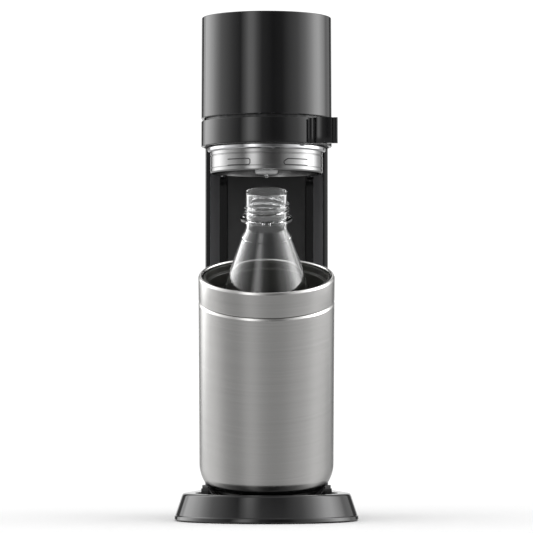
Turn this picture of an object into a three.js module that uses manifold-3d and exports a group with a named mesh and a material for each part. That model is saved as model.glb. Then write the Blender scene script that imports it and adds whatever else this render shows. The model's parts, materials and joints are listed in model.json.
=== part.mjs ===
// A soda carbonator: a round base, a tower that holds the gas cylinder, a head whose lock ring
// slides down over the bottle's neck, and a steel bottle carrier that tips forward in the base.
// Millimetres, +Z up. Inside this file x = 0, y = 0 is the axis of the head, +Y is the back.
// The exported group is moved so that the whole object's box is centred on x = 0, y = 0.
import * as THREE from "three";
import { mergeVertices } from "three/addons/utils/BufferGeometryUtils.js";
import Module from "manifold-3d";

const wasm = await Module();
wasm.setup();

// ---------------------------------------------------------------- driving dimensions
const HEIGHT = 440;
const DEPTH = 276.4; // from the tipped carrier's lip to the back cover
const REAR_Y = 162; // the back cover's rear, from the head's axis
const GAP = 0.3; // between pieces that touch
const WALL = 2.5;

const BASE_RADIUS = 80.5;
const BASE_TAIL_RADIUS = 56.5;
const BASE_TOP_RADIUS = 72.6;
const BASE_TOP = 24;
const RECESS_RADIUS = 61;
const RECESS_FLOOR = 8;

const TOWER_HALF_WIDTH = 54.5;
const TOWER_FRONT_Y = 37;
const PANEL_Y = 62; // the flat face between the tower's pillars
const COVER_SPLIT_Y = 99.5; // where the back cover begins
const TOWER_TOP = 350.8;

const HEAD_RADIUS = 57.3;
const HEAD_BOTTOM = 351.3;
const CHASSIS_Z = 398.7; // underside of the plate inside the head

const BAND_TOP = 348.8;
const BAND_BOTTOM = 326.5;
const FLANGE_RADIUS = 51.5;
const FLANGE_BOTTOM = 321.6;
const LOCK_RING_RADIUS = 49.2;
const LOCK_RING_BOTTOM = 303.1;
const SLEEVE_RADIUS = 53.2;

const TILT = THREE.MathUtils.degToRad(17.5); // the carrier at rest, tipped forward
const PIVOT_Z = 24;
const CARRIER_RADIUS = 58.4;
const CARRIER_HEIGHT = 197.5;
const CARRIER_CORNER = 28;
const COLLAR_HEIGHT = 22;
const BOTTLE_RADIUS = 43.5;
const BOTTLE_TOP = 271;

const GAS_Y = 100; // axis of the gas cylinder
const GAS_RADIUS = 30;
const ROD_X = 39; // guide rods of the sliding head
const ROD_Y = 48;
const ROD_RADIUS = 3;
const RUNNING = 0.09; // radial clearance of a shaft in its hole
const BUTTON_RADIUS = 24;
const LEVER_PIVOT_Y = 118; // pivot of the rocker under the button
const LEVER_PIVOT_Z = 414.4;
const CONNECT_Y = 138; // pivot of the quick-connect lever behind the cylinder
const CONNECT_Z = 340;

const ROUND = 36; // segments of a large circle
const SMALL = 16; // segments of a small circle

// ---------------------------------------------------------------- materials
const finish = (color, roughness, metalness, opacity = 1) =>
  new THREE.MeshStandardMaterial({ color, roughness, metalness, opacity, transparent: opacity < 1 });
const blackGloss = finish(0x161618, 0.08, 0);
const blackSatin = finish(0x1c1c1e, 0.45, 0);
const brushedSteel = finish(0xa5a5a3, 0.32, 1);
const polishedSteel = finish(0xc8c8ca, 0.15, 1);
const linerPlastic = finish(0x2c2c2a, 0.4, 0);
const rubber = finish(0x111111, 0.9, 0);
const sealRubber = finish(0xc9c9c9, 0.6, 0);
const clearPlastic = finish(0xf2f5f7, 0.03, 0, 0.35);
const aluminium = finish(0xb9bbbe, 0.35, 1);
const brass = finish(0xb08d4a, 0.3, 1);
const leverPlastic = finish(0xc4507c, 0.4, 0);
const innerPlastic = finish(0x3a3b3e, 0.6, 0);

// ---------------------------------------------------------------- solids
function solid(geometry) {
  const plain = geometry.clone();
  plain.deleteAttribute("normal");
  plain.deleteAttribute("uv");
  const merged = mergeVertices(plain, 1e-4);
  const vertProperties = new Float32Array(merged.attributes.position.array);
  const triVerts = new Uint32Array(merged.index.array);
  return new wasm.Manifold(new wasm.Mesh({ numProp: 3, vertProperties, triVerts }));
}

function geometryOf(manifold) {
  const { vertProperties, triVerts } = manifold.getMesh();
  const geometry = new THREE.BufferGeometry();
  geometry.setAttribute("position", new THREE.BufferAttribute(new Float32Array(vertProperties), 3));
  geometry.setIndex(new THREE.BufferAttribute(new Uint32Array(triVerts), 1));
  geometry.computeVertexNormals();
  return geometry;
}

const union = (...parts) => parts.reduce((all, next) => all.add(next));
const cut = (body, ...tools) => tools.reduce((all, next) => all.subtract(next), body);

// A profile of [radius, height] pairs turned about Z. It runs up the outside, from foot to top.
function latheGeometry(profile, segments = ROUND) {
  const points = profile.map(([r, z]) => new THREE.Vector2(r, z));
  return new THREE.LatheGeometry(points, segments).rotateX(Math.PI / 2);
}
const turned = (profile, segments) => solid(latheGeometry(profile, segments));

function disc(radius, z0, z1, x = 0, y = 0, segments = SMALL) {
  return turned([[0, z0], [radius, z0], [radius, z1], [0, z1]], segments).translate([x, y, 0]);
}

function ring(outer, inner, z0, z1, segments = ROUND) {
  return turned([[inner, z0], [outer, z0], [outer, z1], [inner, z1], [inner, z0]], segments);
}

function box(x0, x1, y0, y1, z0, z1) {
  const geometry = new THREE.BoxGeometry(x1 - x0, y1 - y0, z1 - z0);
  return solid(geometry.translate((x0 + x1) / 2, (y0 + y1) / 2, (z0 + z1) / 2));
}

function extruded(shape, z0, z1, curveSegments = 16) {
  const geometry = new THREE.ExtrudeGeometry(shape, { depth: z1 - z0, bevelEnabled: false, curveSegments });
  return solid(geometry.translate(0, 0, z0));
}

const polygon = (corners) => new THREE.Shape(corners.map(([x, y]) => new THREE.Vector2(x, y)));

// A rod along X.
function rodAlongX(radius, x0, x1, y, z) {
  const geometry = new THREE.CylinderGeometry(radius, radius, x1 - x0, 24);
  return solid(geometry.rotateZ(Math.PI / 2).translate((x0 + x1) / 2, y, z));
}

// The rubber-band outline round a front circle at y = 0 and a rear circle at y = rearY.
function eggOutline(frontRadius, rearRadius, rearY, segments = 40) {
  const lean = Math.asin((frontRadius - rearRadius) / rearY);
  const arc = (radius, centreY, from, to, count) =>
    Array.from({ length: count + 1 }, (_, i) => {
      const angle = from + ((to - from) * i) / count;
      return [radius * Math.cos(angle), centreY + radius * Math.sin(angle)];
    });
  return [
    ...arc(rearRadius, rearY, lean, Math.PI - lean, segments / 2),
    ...arc(frontRadius, 0, Math.PI - lean, 2 * Math.PI + lean, segments),
  ];
}

// A solid through outlines of equal length, each at its own height.
function loft(levels) {
  const count = levels[0].outline.length;
  const positions = levels.flatMap(({ outline, z }) => outline.flatMap(([x, y]) => [x, y, z]));
  const last = levels.length - 1;
  const faces = [];
  for (let level = 0; level < last; level++) {
    for (let i = 0; i < count; i++) {
      const a = level * count + i;
      const b = level * count + ((i + 1) % count);
      faces.push(a, b, b + count, a, b + count, a + count);
    }
  }
  for (let i = 1; i < count - 1; i++) {
    faces.push(0, i + 1, i);
    faces.push(last * count, last * count + i, last * count + i + 1);
  }
  const geometry = new THREE.BufferGeometry();
  geometry.setAttribute("position", new THREE.Float32BufferAttribute(positions, 3));
  geometry.setIndex(faces);
  return solid(geometry);
}

// Plan outline of the head: a round front of `frontRadius` and a slightly narrower round rear.
function headLevel(inset, z) {
  const rearRadius = TOWER_HALF_WIDTH - inset;
  return { outline: eggOutline(HEAD_RADIUS - inset, rearRadius, REAR_Y - inset - rearRadius, 36), z };
}

// Plan outline of the base at a given inset from its widest line.
function baseLevel(frontRadius, inset, z) {
  const rearRadius = BASE_TAIL_RADIUS - inset;
  return { outline: eggOutline(frontRadius, rearRadius, REAR_Y - inset - rearRadius, 36), z };
}

// ---------------------------------------------------------------- scene graph
const machine = new THREE.Group();

function add(name, material, manifold) {
  const mesh = new THREE.Mesh(geometryOf(manifold), material);
  mesh.name = name;
  machine.add(mesh);
}

// Pieces that stand in the base are drawn upright on the head's axis, with their heights
// counted from the pivot, and then tipped forward about it.
function addTipped(name, material, manifold) {
  const tipped = manifold.rotate([THREE.MathUtils.radToDeg(TILT), 0, 0]).translate([0, 0, PIVOT_Z]);
  add(name, material, tipped);
}

// ---------------------------------------------------------------- base
function addBase() {
  const outside = loft([
    baseLevel(BASE_RADIUS, 0, 1),
    baseLevel(BASE_RADIUS, 0, 4.3),
    baseLevel(BASE_RADIUS - 0.9, 0.4, 5.2),
    baseLevel(BASE_TOP_RADIUS + 0.8, 1.6, BASE_TOP - 1),
    baseLevel(BASE_TOP_RADIUS, 2, BASE_TOP),
  ]);
  const inside = loft([
    baseLevel(BASE_RADIUS - 3, 3, -1),
    baseLevel(BASE_RADIUS - 3, 3, 4),
    baseLevel(BASE_TOP_RADIUS - 2, 4.6, BASE_TOP - WALL),
  ]);
  const bowl = disc(RECESS_RADIUS + 2, RECESS_FLOOR - 2, BASE_TOP, 0, 0, ROUND);
  const recess = disc(RECESS_RADIUS, RECESS_FLOOR, BASE_TOP + 5, 0, 0, ROUND);
  let shell = outside.subtract(inside.subtract(bowl)).subtract(recess);
  const screwPlaces = [[-56, 66], [56, 66], [-40, 112], [40, 112]];
  for (const [x, y] of screwPlaces) {
    shell = shell.add(disc(4.5, 4, BASE_TOP - 1, x, y, 16)).subtract(disc(1.8, 3, 15, x, y, 12));
  }
  add("base_shell", blackGloss, shell);

  let plate = loft([baseLevel(BASE_RADIUS - 3.4, 3.4, 1.2), baseLevel(BASE_RADIUS - 3.4, 3.4, 3.6)]);
  const footPlaces = [[0, -66], [-62, -4], [62, -4], [-29, 131], [29, 131]];
  for (const [x, y] of footPlaces) plate = plate.subtract(disc(8.3, 0, 2.3, x, y, 16));
  for (const [x, y] of screwPlaces) plate = plate.subtract(disc(2.1, 0, 5, x, y, 12));
  for (let x = -24; x <= 24; x += 12) plate = plate.subtract(box(x - 2, x + 2, 76, 106, 0, 5));
  add("base_plate", blackSatin, plate);
  footPlaces.forEach(([x, y], i) => {
    const foot = turned([[0, 0], [7, 0], [8, 0.6], [8, 2], [0, 2]], 16).translate([x, y, 0]);
    add(`foot_${i + 1}`, rubber, foot);
  });
  screwPlaces.forEach(([x, y], i) => {
    const screw = turned([[0, 0.7], [2, 0.4], [1.7, 1.9], [1.5, 2.4], [1.5, 12.5], [0, 14]], 12);
    add(`base_screw_${i + 1}`, polishedSteel, screw.translate([x, y, 0]));
  });

  for (const side of [-1, 1]) {
    const block = union(box(51, 56, -7, 7, RECESS_FLOOR + GAP, PIVOT_Z), rodAlongX(7, 51, 56, 0, PIVOT_Z));
    const bearing = block.subtract(rodAlongX(4 + RUNNING, 45, 60, 0, PIVOT_Z));
    const placed = side > 0 ? bearing : bearing.mirror([1, 0, 0]);
    add(side > 0 ? "cradle_bearing_right" : "cradle_bearing_left", blackSatin, placed);
  }
}

// ---------------------------------------------------------------- tower
function addTower() {
  const half = TOWER_HALF_WIDTH;
  const y0 = TOWER_FRONT_Y;
  const right = [
    [half, COVER_SPLIT_Y], [half, y0 + 3], [half - 0.9, y0 + 0.9], [half - 3, y0],
    [50, y0], [42, PANEL_Y], [42, PANEL_Y + 4],
  ];
  const inner = [[44.4, PANEL_Y + 6.5], [44.4, PANEL_Y + 0.8], [52, y0 + 2.3], [52, COVER_SPLIT_Y]];
  const mirrored = (path) => path.map(([x, y]) => [-x, y]).reverse();
  const outline = [...right, ...mirrored(right), ...mirrored(inner), ...inner];
  add("tower_casing", blackGloss, extruded(polygon(outline), BASE_TOP + GAP, TOWER_TOP));

  const panel = polygon([
    [-34.5, PANEL_Y], [34.5, PANEL_Y], [35.5, PANEL_Y + 1],
    [35.5, PANEL_Y + 3.7], [-35.5, PANEL_Y + 3.7], [-35.5, PANEL_Y + 1],
  ]);
  add("tower_front_panel", blackSatin, extruded(panel, BASE_TOP + GAP, TOWER_TOP));

  const cheek = (x) => box(x, x + 2.5, 71, 96, BASE_TOP + GAP, CHASSIS_Z + 1);
  const plateLevels = [headLevel(3.4, CHASSIS_Z), headLevel(3.4, CHASSIS_Z + 3)];
  let frame = union(loft(plateLevels), cheek(-49), cheek(46.5));
  const holes = [
    disc(ROD_RADIUS + RUNNING, 380, 420, ROD_X, ROD_Y), disc(ROD_RADIUS + RUNNING, 380, 420, -ROD_X, ROD_Y),
    disc(6.6, 380, 420, 0, GAS_Y), disc(4.8, 380, 420, 0, 29),
    disc(5, 380, 420, 15, 91), disc(8, 380, 420, 0, 0),
  ];
  frame = cut(frame, ...holes);
  for (const x of [-9.5, 7]) {
    const ear = box(x, x + 2.5, LEVER_PIVOT_Y - 5, LEVER_PIVOT_Y + 5, CHASSIS_Z + 2, LEVER_PIVOT_Z + 5);
    frame = frame.add(ear);
  }
  frame = frame.subtract(rodAlongX(2 + RUNNING, -12, 12, LEVER_PIVOT_Y, LEVER_PIVOT_Z));
  add("inner_frame", innerPlastic, frame);
  add("rocker_pin", polishedSteel, rodAlongX(2, -11.5, 11.5, LEVER_PIVOT_Y, LEVER_PIVOT_Z));

  for (const side of [-1, 1]) {
    const rod = turned([[0, 303.5], [2.4, 303.5], [3, 304.1], [3, 404.4], [2.4, 405], [0, 405]], SMALL);
    const name = side > 0 ? "guide_rod_right" : "guide_rod_left";
    add(name, polishedSteel, rod.translate([side * ROD_X, ROD_Y, 0]));
  }
}

// ---------------------------------------------------------------- back cover
function addBackCover() {
  const centreY = REAR_Y - TOWER_HALF_WIDTH;
  const slice = (radius, startY) => {
    const shape = new THREE.Shape();
    shape.moveTo(radius, startY);
    shape.lineTo(radius, centreY);
    shape.absarc(0, centreY, radius, 0, Math.PI, false);
    shape.lineTo(-radius, startY);
    shape.closePath();
    return shape;
  };
  const start = COVER_SPLIT_Y + GAP;
  const outside = extruded(slice(TOWER_HALF_WIDTH, start), BASE_TOP + GAP, TOWER_TOP, 14);
  const inside = extruded(slice(TOWER_HALF_WIDTH - WALL, start - 2), BASE_TOP - 3, TOWER_TOP + 3, 14);
  const notch = box(-12.3, 12.3, REAR_Y - 8, REAR_Y + 4, 290, 308.3);
  add("back_cover", blackGloss, cut(outside, inside, notch));

  const face = box(-12, 12, REAR_Y - 4.5, REAR_Y - 0.6, 290.3, 308);
  const grip = [294, 298, 302].map((z) => box(-9, 9, REAR_Y - 1.5, REAR_Y + 2, z, z + 1.4));
  const hook = box(-6, 6, REAR_Y - 13, REAR_Y - 4, 297, 301);
  add("cover_latch", blackSatin, cut(union(face, hook), ...grip));
}

// ---------------------------------------------------------------- head
function addHead() {
  const outside = loft([
    headLevel(0, HEAD_BOTTOM), headLevel(0, HEIGHT - 0.9), headLevel(0.3, HEIGHT - 0.3),
    headLevel(0.9, HEIGHT),
  ]);
  const inside = loft([
    headLevel(2.5, HEAD_BOTTOM - 1), headLevel(2.5, HEIGHT - 4), headLevel(4, HEIGHT - 2.5),
  ]);
  const hole = disc(27.3, HEIGHT - 9, HEIGHT + 2, 0, 0, ROUND);
  add("head_cover", blackGloss, cut(outside, inside, hole));

  const bezel = turned([
    [BUTTON_RADIUS + 0.6, HEIGHT - 4], [27, HEIGHT - 4], [27, HEIGHT - 0.9], [26.6, HEIGHT - 0.3],
    [25.2, HEIGHT - 0.3], [BUTTON_RADIUS + 0.6, HEIGHT - 0.9], [BUTTON_RADIUS + 0.6, HEIGHT - 4],
  ]);
  add("button_bezel", polishedSteel, bezel);
  const guide = cut(
    disc(27, 419, HEIGHT - 4.3, 0, 0, ROUND),
    disc(BUTTON_RADIUS + 0.6, 421, HEIGHT, 0, 0, ROUND),
    disc(4 + GAP, 400, 430, 0, 0),
  );
  add("button_guide", innerPlastic, guide);
  const cap = turned([
    [0, 416.8], [3.4, 416.8], [4, 417.4], [4, HEIGHT - 6], [BUTTON_RADIUS - 0.8, HEIGHT - 6],
    [BUTTON_RADIUS, HEIGHT - 5.2], [BUTTON_RADIUS, HEIGHT - 1.4], [BUTTON_RADIUS - 0.9, HEIGHT - 0.6],
    [12, HEIGHT - 1.4], [0, HEIGHT - 1.7],
  ]);
  add("carbonating_button", blackGloss, cap);

  const coil = new THREE.CatmullRomCurve3(
    Array.from({ length: 33 }, (_, i) => {
      const angle = (i / 8) * 2 * Math.PI;
      return new THREE.Vector3(8 * Math.cos(angle), 8 * Math.sin(angle), 422 + (i / 32) * 11);
    }),
  );
  const wire = new THREE.Shape();
  wire.absarc(0, 0, 0.65, 0, 2 * Math.PI, false);
  const spring = new THREE.ExtrudeGeometry(wire, { steps: 48, extrudePath: coil, curveSegments: 3 });
  add("button_spring", polishedSteel, solid(spring));

  const arm = box(-5, 5, 4, LEVER_PIVOT_Y, 413, 415.8);
  const eye = rodAlongX(5, -6.6, 6.6, LEVER_PIVOT_Y, LEVER_PIVOT_Z);
  const pad = disc(9, 413, 416.5, 0, 0);
  const rocker = union(arm, eye, pad).subtract(rodAlongX(2 + RUNNING, -9, 9, LEVER_PIVOT_Y, LEVER_PIVOT_Z));
  add("valve_rocker", brushedSteel, rocker);
}

// ---------------------------------------------------------------- gas supply
function addGasSupply() {
  const cylinder = turned([
    [0, 36], [20, 31], [27, 31.5], [GAS_RADIUS, 35], [GAS_RADIUS, 316], [26.5, 328],
    [17, 338], [11, 344], [11, 352], [0, 352],
  ], 32);
  add("gas_cylinder", aluminium, cylinder.translate([0, GAS_Y, 0]));
  const valve = turned([
    [0, 352.2], [9.5, 352.2], [9.5, 362], [8, 363], [8, 372], [7, 373.5], [4.3, 373.5], [4.3, 370], [0, 370],
  ], SMALL);
  add("cylinder_valve", brass, valve.translate([0, GAS_Y, 0]));

  const seat = cut(
    union(
      box(-40, 40, 70.5, 132, 24.3, 28.3),
      disc(34, 24.3, 44, 0, GAS_Y, ROUND).intersect(box(-40, 40, 70.5, 132, 20, 50)),
    ),
    disc(GAS_RADIUS + 0.6, 28.6, 60, 0, GAS_Y, ROUND),
    disc(14, 20, 60, 0, GAS_Y),
  );
  add("cylinder_seat", innerPlastic, seat);

  const block = cut(
    box(-20, 20, 84, 116, 374, CHASSIS_Z - GAP),
    disc(3 + RUNNING, 370, 400, 0, GAS_Y),
  );
  add("valve_block", aluminium, block);
  add("valve_pin", polishedSteel, turned([
    [0, 371.5], [2, 371.5], [3, 373], [3, 411.6], [2, 412.7], [0, 412.7],
  ], SMALL).translate([0, GAS_Y, 0]));

  const line = new THREE.CatmullRomCurve3([
    [15, 92, 398.9], [15, 91.6, 401.8], [14.4, 88, 404.9], [8, 60, 405.3], [1.2, 34, 405.2],
    [0, 29, 403], [0, 28, 398], [0, 28, 390], [0, 28, 349.6],
  ].map((p) => new THREE.Vector3(...p)));
  const section = new THREE.Shape();
  section.absarc(0, 0, 2.9, 0, 2 * Math.PI, false);
  const tube = new THREE.ExtrudeGeometry(section, { steps: 30, extrudePath: line, curveSegments: 4 });
  add("gas_feed_tube", polishedSteel, solid(tube));

  const bracket = cut(
    union(
      box(-11, -7.3, CONNECT_Y - 4.5, CONNECT_Y + 4, CONNECT_Z - 6, CHASSIS_Z - GAP),
      box(7.3, 11, CONNECT_Y - 4.5, CONNECT_Y + 4, CONNECT_Z - 6, CHASSIS_Z - GAP),
      box(-20, 20, CONNECT_Y - 16, CONNECT_Y + 8, CHASSIS_Z - 3.5, CHASSIS_Z - GAP),
    ),
    rodAlongX(2 + RUNNING, -14, 14, CONNECT_Y, CONNECT_Z),
  );
  add("connect_bracket", innerPlastic, bracket);
  add("connect_pin", polishedSteel, rodAlongX(2, -12.6, 12.6, CONNECT_Y, CONNECT_Z));
  const lever = cut(
    union(
      rodAlongX(4.5, -7, 7, CONNECT_Y, CONNECT_Z),
      box(-7, 7, CONNECT_Y - 3.4, CONNECT_Y + 2.4, CONNECT_Z - 18, CONNECT_Z),
      box(-10, 10, CONNECT_Y - 4, CONNECT_Y + 3, CONNECT_Z - 18.5, CONNECT_Z - 10),
    ),
    rodAlongX(2 + RUNNING, -14, 14, CONNECT_Y, CONNECT_Z),
  );
  add("quick_connect_lever", leverPlastic, lever);
}

// ---------------------------------------------------------------- sliding lock head
function addCarriage() {
  const band = ring(HEAD_RADIUS, HEAD_RADIUS - 2.7, BAND_BOTTOM, BAND_TOP, ROUND);
  // The grip leaves the band in a hollow curve, runs out as a bowed plate and ends in a rounded bead.
  const hollow = Array.from({ length: 6 }, (_, i) => {
    const angle = THREE.MathUtils.degToRad(128.8 - 23.84 * i);
    return [38.51 + 4.16 * Math.cos(angle), -47.9 + 4.16 * Math.sin(angle)];
  });
  const grip = polygon([
    [34, -42], ...hollow, [42.9, -48.1], [43.5, -48.5], [46.7, -49.1], [49.9, -49.3], [53.1, -49.1],
    [56.3, -48.5], [56.9, -46.9], [58, -46.9], [58.2, -47.7], [59.8, -47.2], [61, -45.9], [61.5, -44],
    [61.5, -42.8], [60.7, -42],
  ]);
  const ear = extruded(grip, BAND_BOTTOM, BAND_TOP);
  const core = disc(HEAD_RADIUS - 2.7, 300, 360, 0, 0, ROUND);
  add("handle_band", blackGloss, band.add(ear.subtract(core)));

  const hub = union(
    ring(54.3, LOCK_RING_RADIUS + GAP, BAND_BOTTOM + GAP, 346, ROUND),
    disc(54.3, 345.6, BAND_TOP, 0, 0, ROUND),
  );
  add("lock_hub", blackSatin, cut(hub, disc(9.3, 340, 360, 0, 0), disc(3.4, 340, 360, 0, 28)));

  const flange = turned([
    [LOCK_RING_RADIUS + GAP, FLANGE_BOTTOM + 0.8], [FLANGE_RADIUS - 1.2, FLANGE_BOTTOM],
    [FLANGE_RADIUS, FLANGE_BOTTOM + 1], [FLANGE_RADIUS, BAND_BOTTOM - GAP],
    [LOCK_RING_RADIUS + GAP, BAND_BOTTOM - GAP], [LOCK_RING_RADIUS + GAP, FLANGE_BOTTOM + 0.8],
  ]);
  add("lock_flange", polishedSteel, flange);

  const r = LOCK_RING_RADIUS;
  const sleeve = turned([
    [r - 2, LOCK_RING_BOTTOM + 0.6], [r - 1.2, LOCK_RING_BOTTOM], [r - 0.4, LOCK_RING_BOTTOM + 0.7],
    [r, LOCK_RING_BOTTOM + 2], [r, 345.2], [r - 2, 345.2], [r - 2, LOCK_RING_BOTTOM + 0.6],
  ]);
  const slotBand = ring(r + 2, r - 0.9, 307.9, 313.1, ROUND);
  const slot = (x0, x1) => slotBand.intersect(box(x0, x1, -60, -20, 300, 320));
  add("lock_ring", brushedSteel, cut(sleeve, slot(-34.5, -14.7), slot(15, 35)));

  const nozzle = turned([
    [0, 302.6], [5, 303.4], [8.6, 306.2], [10, 310.5], [10, 330], [13, 334], [13, 341.2], [9, 341.2],
    [9, 352], [5.5, 353], [5.5, 360], [0, 360],
  ], 28);
  const bore = union(disc(2, 300, 356, 0, 0, 16));
  add("nozzle_body", blackSatin, nozzle.subtract(bore));
  const tip = turned([[1.2, 299.6], [1.7, 300.2], [1.7, 322], [1.2, 322], [1.2, 299.6]], 16);
  add("nozzle_tip", clearPlastic, tip);
  const seal = turned([
    [9.3, 341.5], [17, 341.5], [19, 342.6], [19, 345.3], [9.3, 345.3], [9.3, 341.5],
  ], 36);
  add("nozzle_seal", sealRubber, seal);
  add("inner_sleeve", blackSatin, ring(SLEEVE_RADIUS, SLEEVE_RADIUS - 2, BAND_TOP + GAP, 396));

  const feed = cut(
    union(disc(5.4, BAND_TOP + GAP, 396, 0, 28), box(-2.5, 2.5, 5.9, 26, BAND_TOP + 4.6, 358)),
    disc(2.9 + 0.4, 340, 400, 0, 28),
  );
  add("feed_sleeve", innerPlastic, feed);
  for (const side of [-1, 1]) {
    const core = disc(SLEEVE_RADIUS + GAP, 340, 400, 0, 0, ROUND);
    const arm = box(32, 39, 44.2, 51.8, 352.5, 364).subtract(core);
    const bush = union(disc(5.2, 352.5, 364, ROD_X, ROD_Y), arm);
    const bored = bush.subtract(disc(ROD_RADIUS + RUNNING, 340, 380, ROD_X, ROD_Y));
    const placed = side > 0 ? bored : bored.mirror([1, 0, 0]);
    add(side > 0 ? "guide_bush_right" : "guide_bush_left", innerPlastic, placed);
  }
}

// ---------------------------------------------------------------- carrier and bottle
// Quarter circle from the flat bottom up to the wall, as [radius, height] pairs.
function roundedFoot(wallRadius, corner, base, count = 5) {
  return Array.from({ length: count + 1 }, (_, i) => {
    const angle = -Math.PI / 2 + (i / count) * (Math.PI / 2);
    return [wallRadius - corner + corner * Math.cos(angle), base + corner + corner * Math.sin(angle)];
  });
}

function addCarrier() {
  const corner = CARRIER_CORNER;
  const dish = solid(latheGeometry([
    [0, -3.1], ...roundedFoot(CARRIER_RADIUS + 3.1, corner + 3.1, -3.1).slice(0, 3),
    [50.4, 4.6], [50.4, 6], [48.4, 5.4],
    ...roundedFoot(CARRIER_RADIUS + GAP, corner + GAP, -GAP).slice(0, 3).reverse(), [0, -GAP],
  ]));
  addTipped("cradle_tray", blackSatin, union(dish, rodAlongX(4, 42, 57, 0, 0), rodAlongX(4, -57, -42, 0, 0))
    .subtract(turned([[0, -GAP], ...roundedFoot(CARRIER_RADIUS + GAP, corner + GAP, -GAP), [0, 40]])));

  const wall = 1.2;
  const top = CARRIER_HEIGHT;
  const neck = top - COLLAR_HEIGHT;
  const shell = turned([
    [0, 0], ...roundedFoot(CARRIER_RADIUS, corner, 0), [CARRIER_RADIUS, neck - 4.5],
    [CARRIER_RADIUS - 0.3, neck - 2], [CARRIER_RADIUS - 1.3, neck - 0.7], [CARRIER_RADIUS - 2.6, neck - 0.6],
    [CARRIER_RADIUS - 2.6, neck - 2.2], [CARRIER_RADIUS - wall, neck - 4.4],
    ...roundedFoot(CARRIER_RADIUS - wall, corner - wall, wall).reverse(), [0, wall],
  ]);
  addTipped("carrier_shell", brushedSteel, shell);

  const r = CARRIER_RADIUS;
  const collar = turned([
    [r - 4, neck - GAP], [r - 0.8, neck - GAP], [r, neck + 0.6], [r + 0.1, top - 3], [r - 0.5, top - 0.8],
    [r - 1.6, top], [r - 3, top - 0.3], [r - 4, top - 1.4], [r - 4, neck - GAP],
  ]);
  addTipped("carrier_collar", brushedSteel, collar);

  const liner = turned([
    [0, wall + GAP], ...roundedFoot(r - wall - GAP, corner - wall - GAP, wall + GAP),
    [r - wall - GAP, neck - 6.2], [r - 4.4, neck - 3.2], [r - 4.4, top - 2], [r - 5.2, top - 1.4],
    [r - 6.6, top - 2], [r - 6.6, top - 7], [r - 8.6, top - 8], [r - 8.6, neck - 6],
    [r - 5, neck - 12], ...roundedFoot(r - 5, corner - 4, 4).reverse(), [0, 4],
  ]);
  addTipped("carrier_liner", linerPlastic, liner);
  const pad = turned([[0, 4.3], [30, 4.3], [30, 6.6], [0, 6.6]], 36);
  addTipped("carrier_pad", rubber, pad);

  const bottle = turned([
    [0, 12], [26, 7.2], [36, 7.2], [BOTTLE_RADIUS, 15], [BOTTLE_RADIUS, 158], [42.9, 165], [41.2, 172.5],
    [21.6, 229.8], [21.8, 231.4], [20.2, 234.2], [17.8, 239], [17.8, 245.6], [22.3, 246.2], [22.3, 248.2],
    [17.8, 248.8], [17.8, 254.6], [19.4, 256], [17.8, 257.4], [17.8, 269.8], [17.1, BOTTLE_TOP],
    [15.5, BOTTLE_TOP], [15.5, 239], [19.4, 230.4], [39.4, 171.8], [41.1, 164.6], [41.8, 157.5],
    [41.8, 15.6], [35.6, 9], [26, 9], [0, 13.8],
  ], 32);
  addTipped("bottle", clearPlastic, bottle);
}

addBase();
addTower();
addBackCover();
addHead();
addGasSupply();
addCarriage();
addCarrier();

machine.position.set(0, DEPTH / 2 - REAR_Y, 0);
machine.updateMatrixWorld(true);
for (const mesh of machine.children) mesh.geometry.applyMatrix4(machine.matrix);
machine.position.set(0, 0, 0);
machine.updateMatrixWorld(true);

export default machine;
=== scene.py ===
"""A soda carbonator's looks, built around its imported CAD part. Metres, +Z up, -Y is the front."""

import json
import math

import bpy
import numpy as np
from mathutils import Matrix, Vector


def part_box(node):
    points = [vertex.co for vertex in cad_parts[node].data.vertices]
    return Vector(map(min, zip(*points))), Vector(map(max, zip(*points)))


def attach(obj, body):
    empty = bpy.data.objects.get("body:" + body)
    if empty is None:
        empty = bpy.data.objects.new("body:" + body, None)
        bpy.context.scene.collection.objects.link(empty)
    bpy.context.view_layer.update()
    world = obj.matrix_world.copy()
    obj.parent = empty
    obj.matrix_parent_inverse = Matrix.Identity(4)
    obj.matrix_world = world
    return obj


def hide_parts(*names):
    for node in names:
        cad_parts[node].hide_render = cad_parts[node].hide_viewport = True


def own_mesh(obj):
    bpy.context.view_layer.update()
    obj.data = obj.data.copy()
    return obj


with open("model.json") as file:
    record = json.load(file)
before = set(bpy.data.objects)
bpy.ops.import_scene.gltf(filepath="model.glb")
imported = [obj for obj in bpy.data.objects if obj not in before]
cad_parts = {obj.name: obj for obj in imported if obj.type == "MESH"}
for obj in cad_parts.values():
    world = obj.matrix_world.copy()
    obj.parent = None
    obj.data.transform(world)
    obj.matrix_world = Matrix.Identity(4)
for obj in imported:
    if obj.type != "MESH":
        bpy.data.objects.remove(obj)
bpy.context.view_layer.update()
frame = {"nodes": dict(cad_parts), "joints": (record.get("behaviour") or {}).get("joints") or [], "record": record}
nodes = frame["nodes"]
joints = {joint["name"]: joint for joint in frame["joints"]}
MM = 0.001
SEGMENTS = 160


# ------------------------------------------------------------------ places taken from the frame
def low(node):
    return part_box(node)[0]


def high(node):
    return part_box(node)[1]


HEAD_Y = (low("lock_ring").y + high("lock_ring").y) / 2
HEAD_RADIUS = high("head_cover").x
TOWER_HALF_WIDTH = high("tower_casing").x
REAR_Y = high("back_cover").y
REAR_CENTRE_Y = REAR_Y - TOWER_HALF_WIDTH
TILT = -math.radians(joints["cradle_tilt"]["range_deg"][0])
PIVOT = Vector(joints["cradle_tilt"]["pos_m"])
CARRIER_FRAME = Matrix.Translation(PIVOT) @ Matrix.Rotation(TILT, 4, "X")
HEAD_FRAME = Matrix.Translation((0, HEAD_Y, 0))


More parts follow.
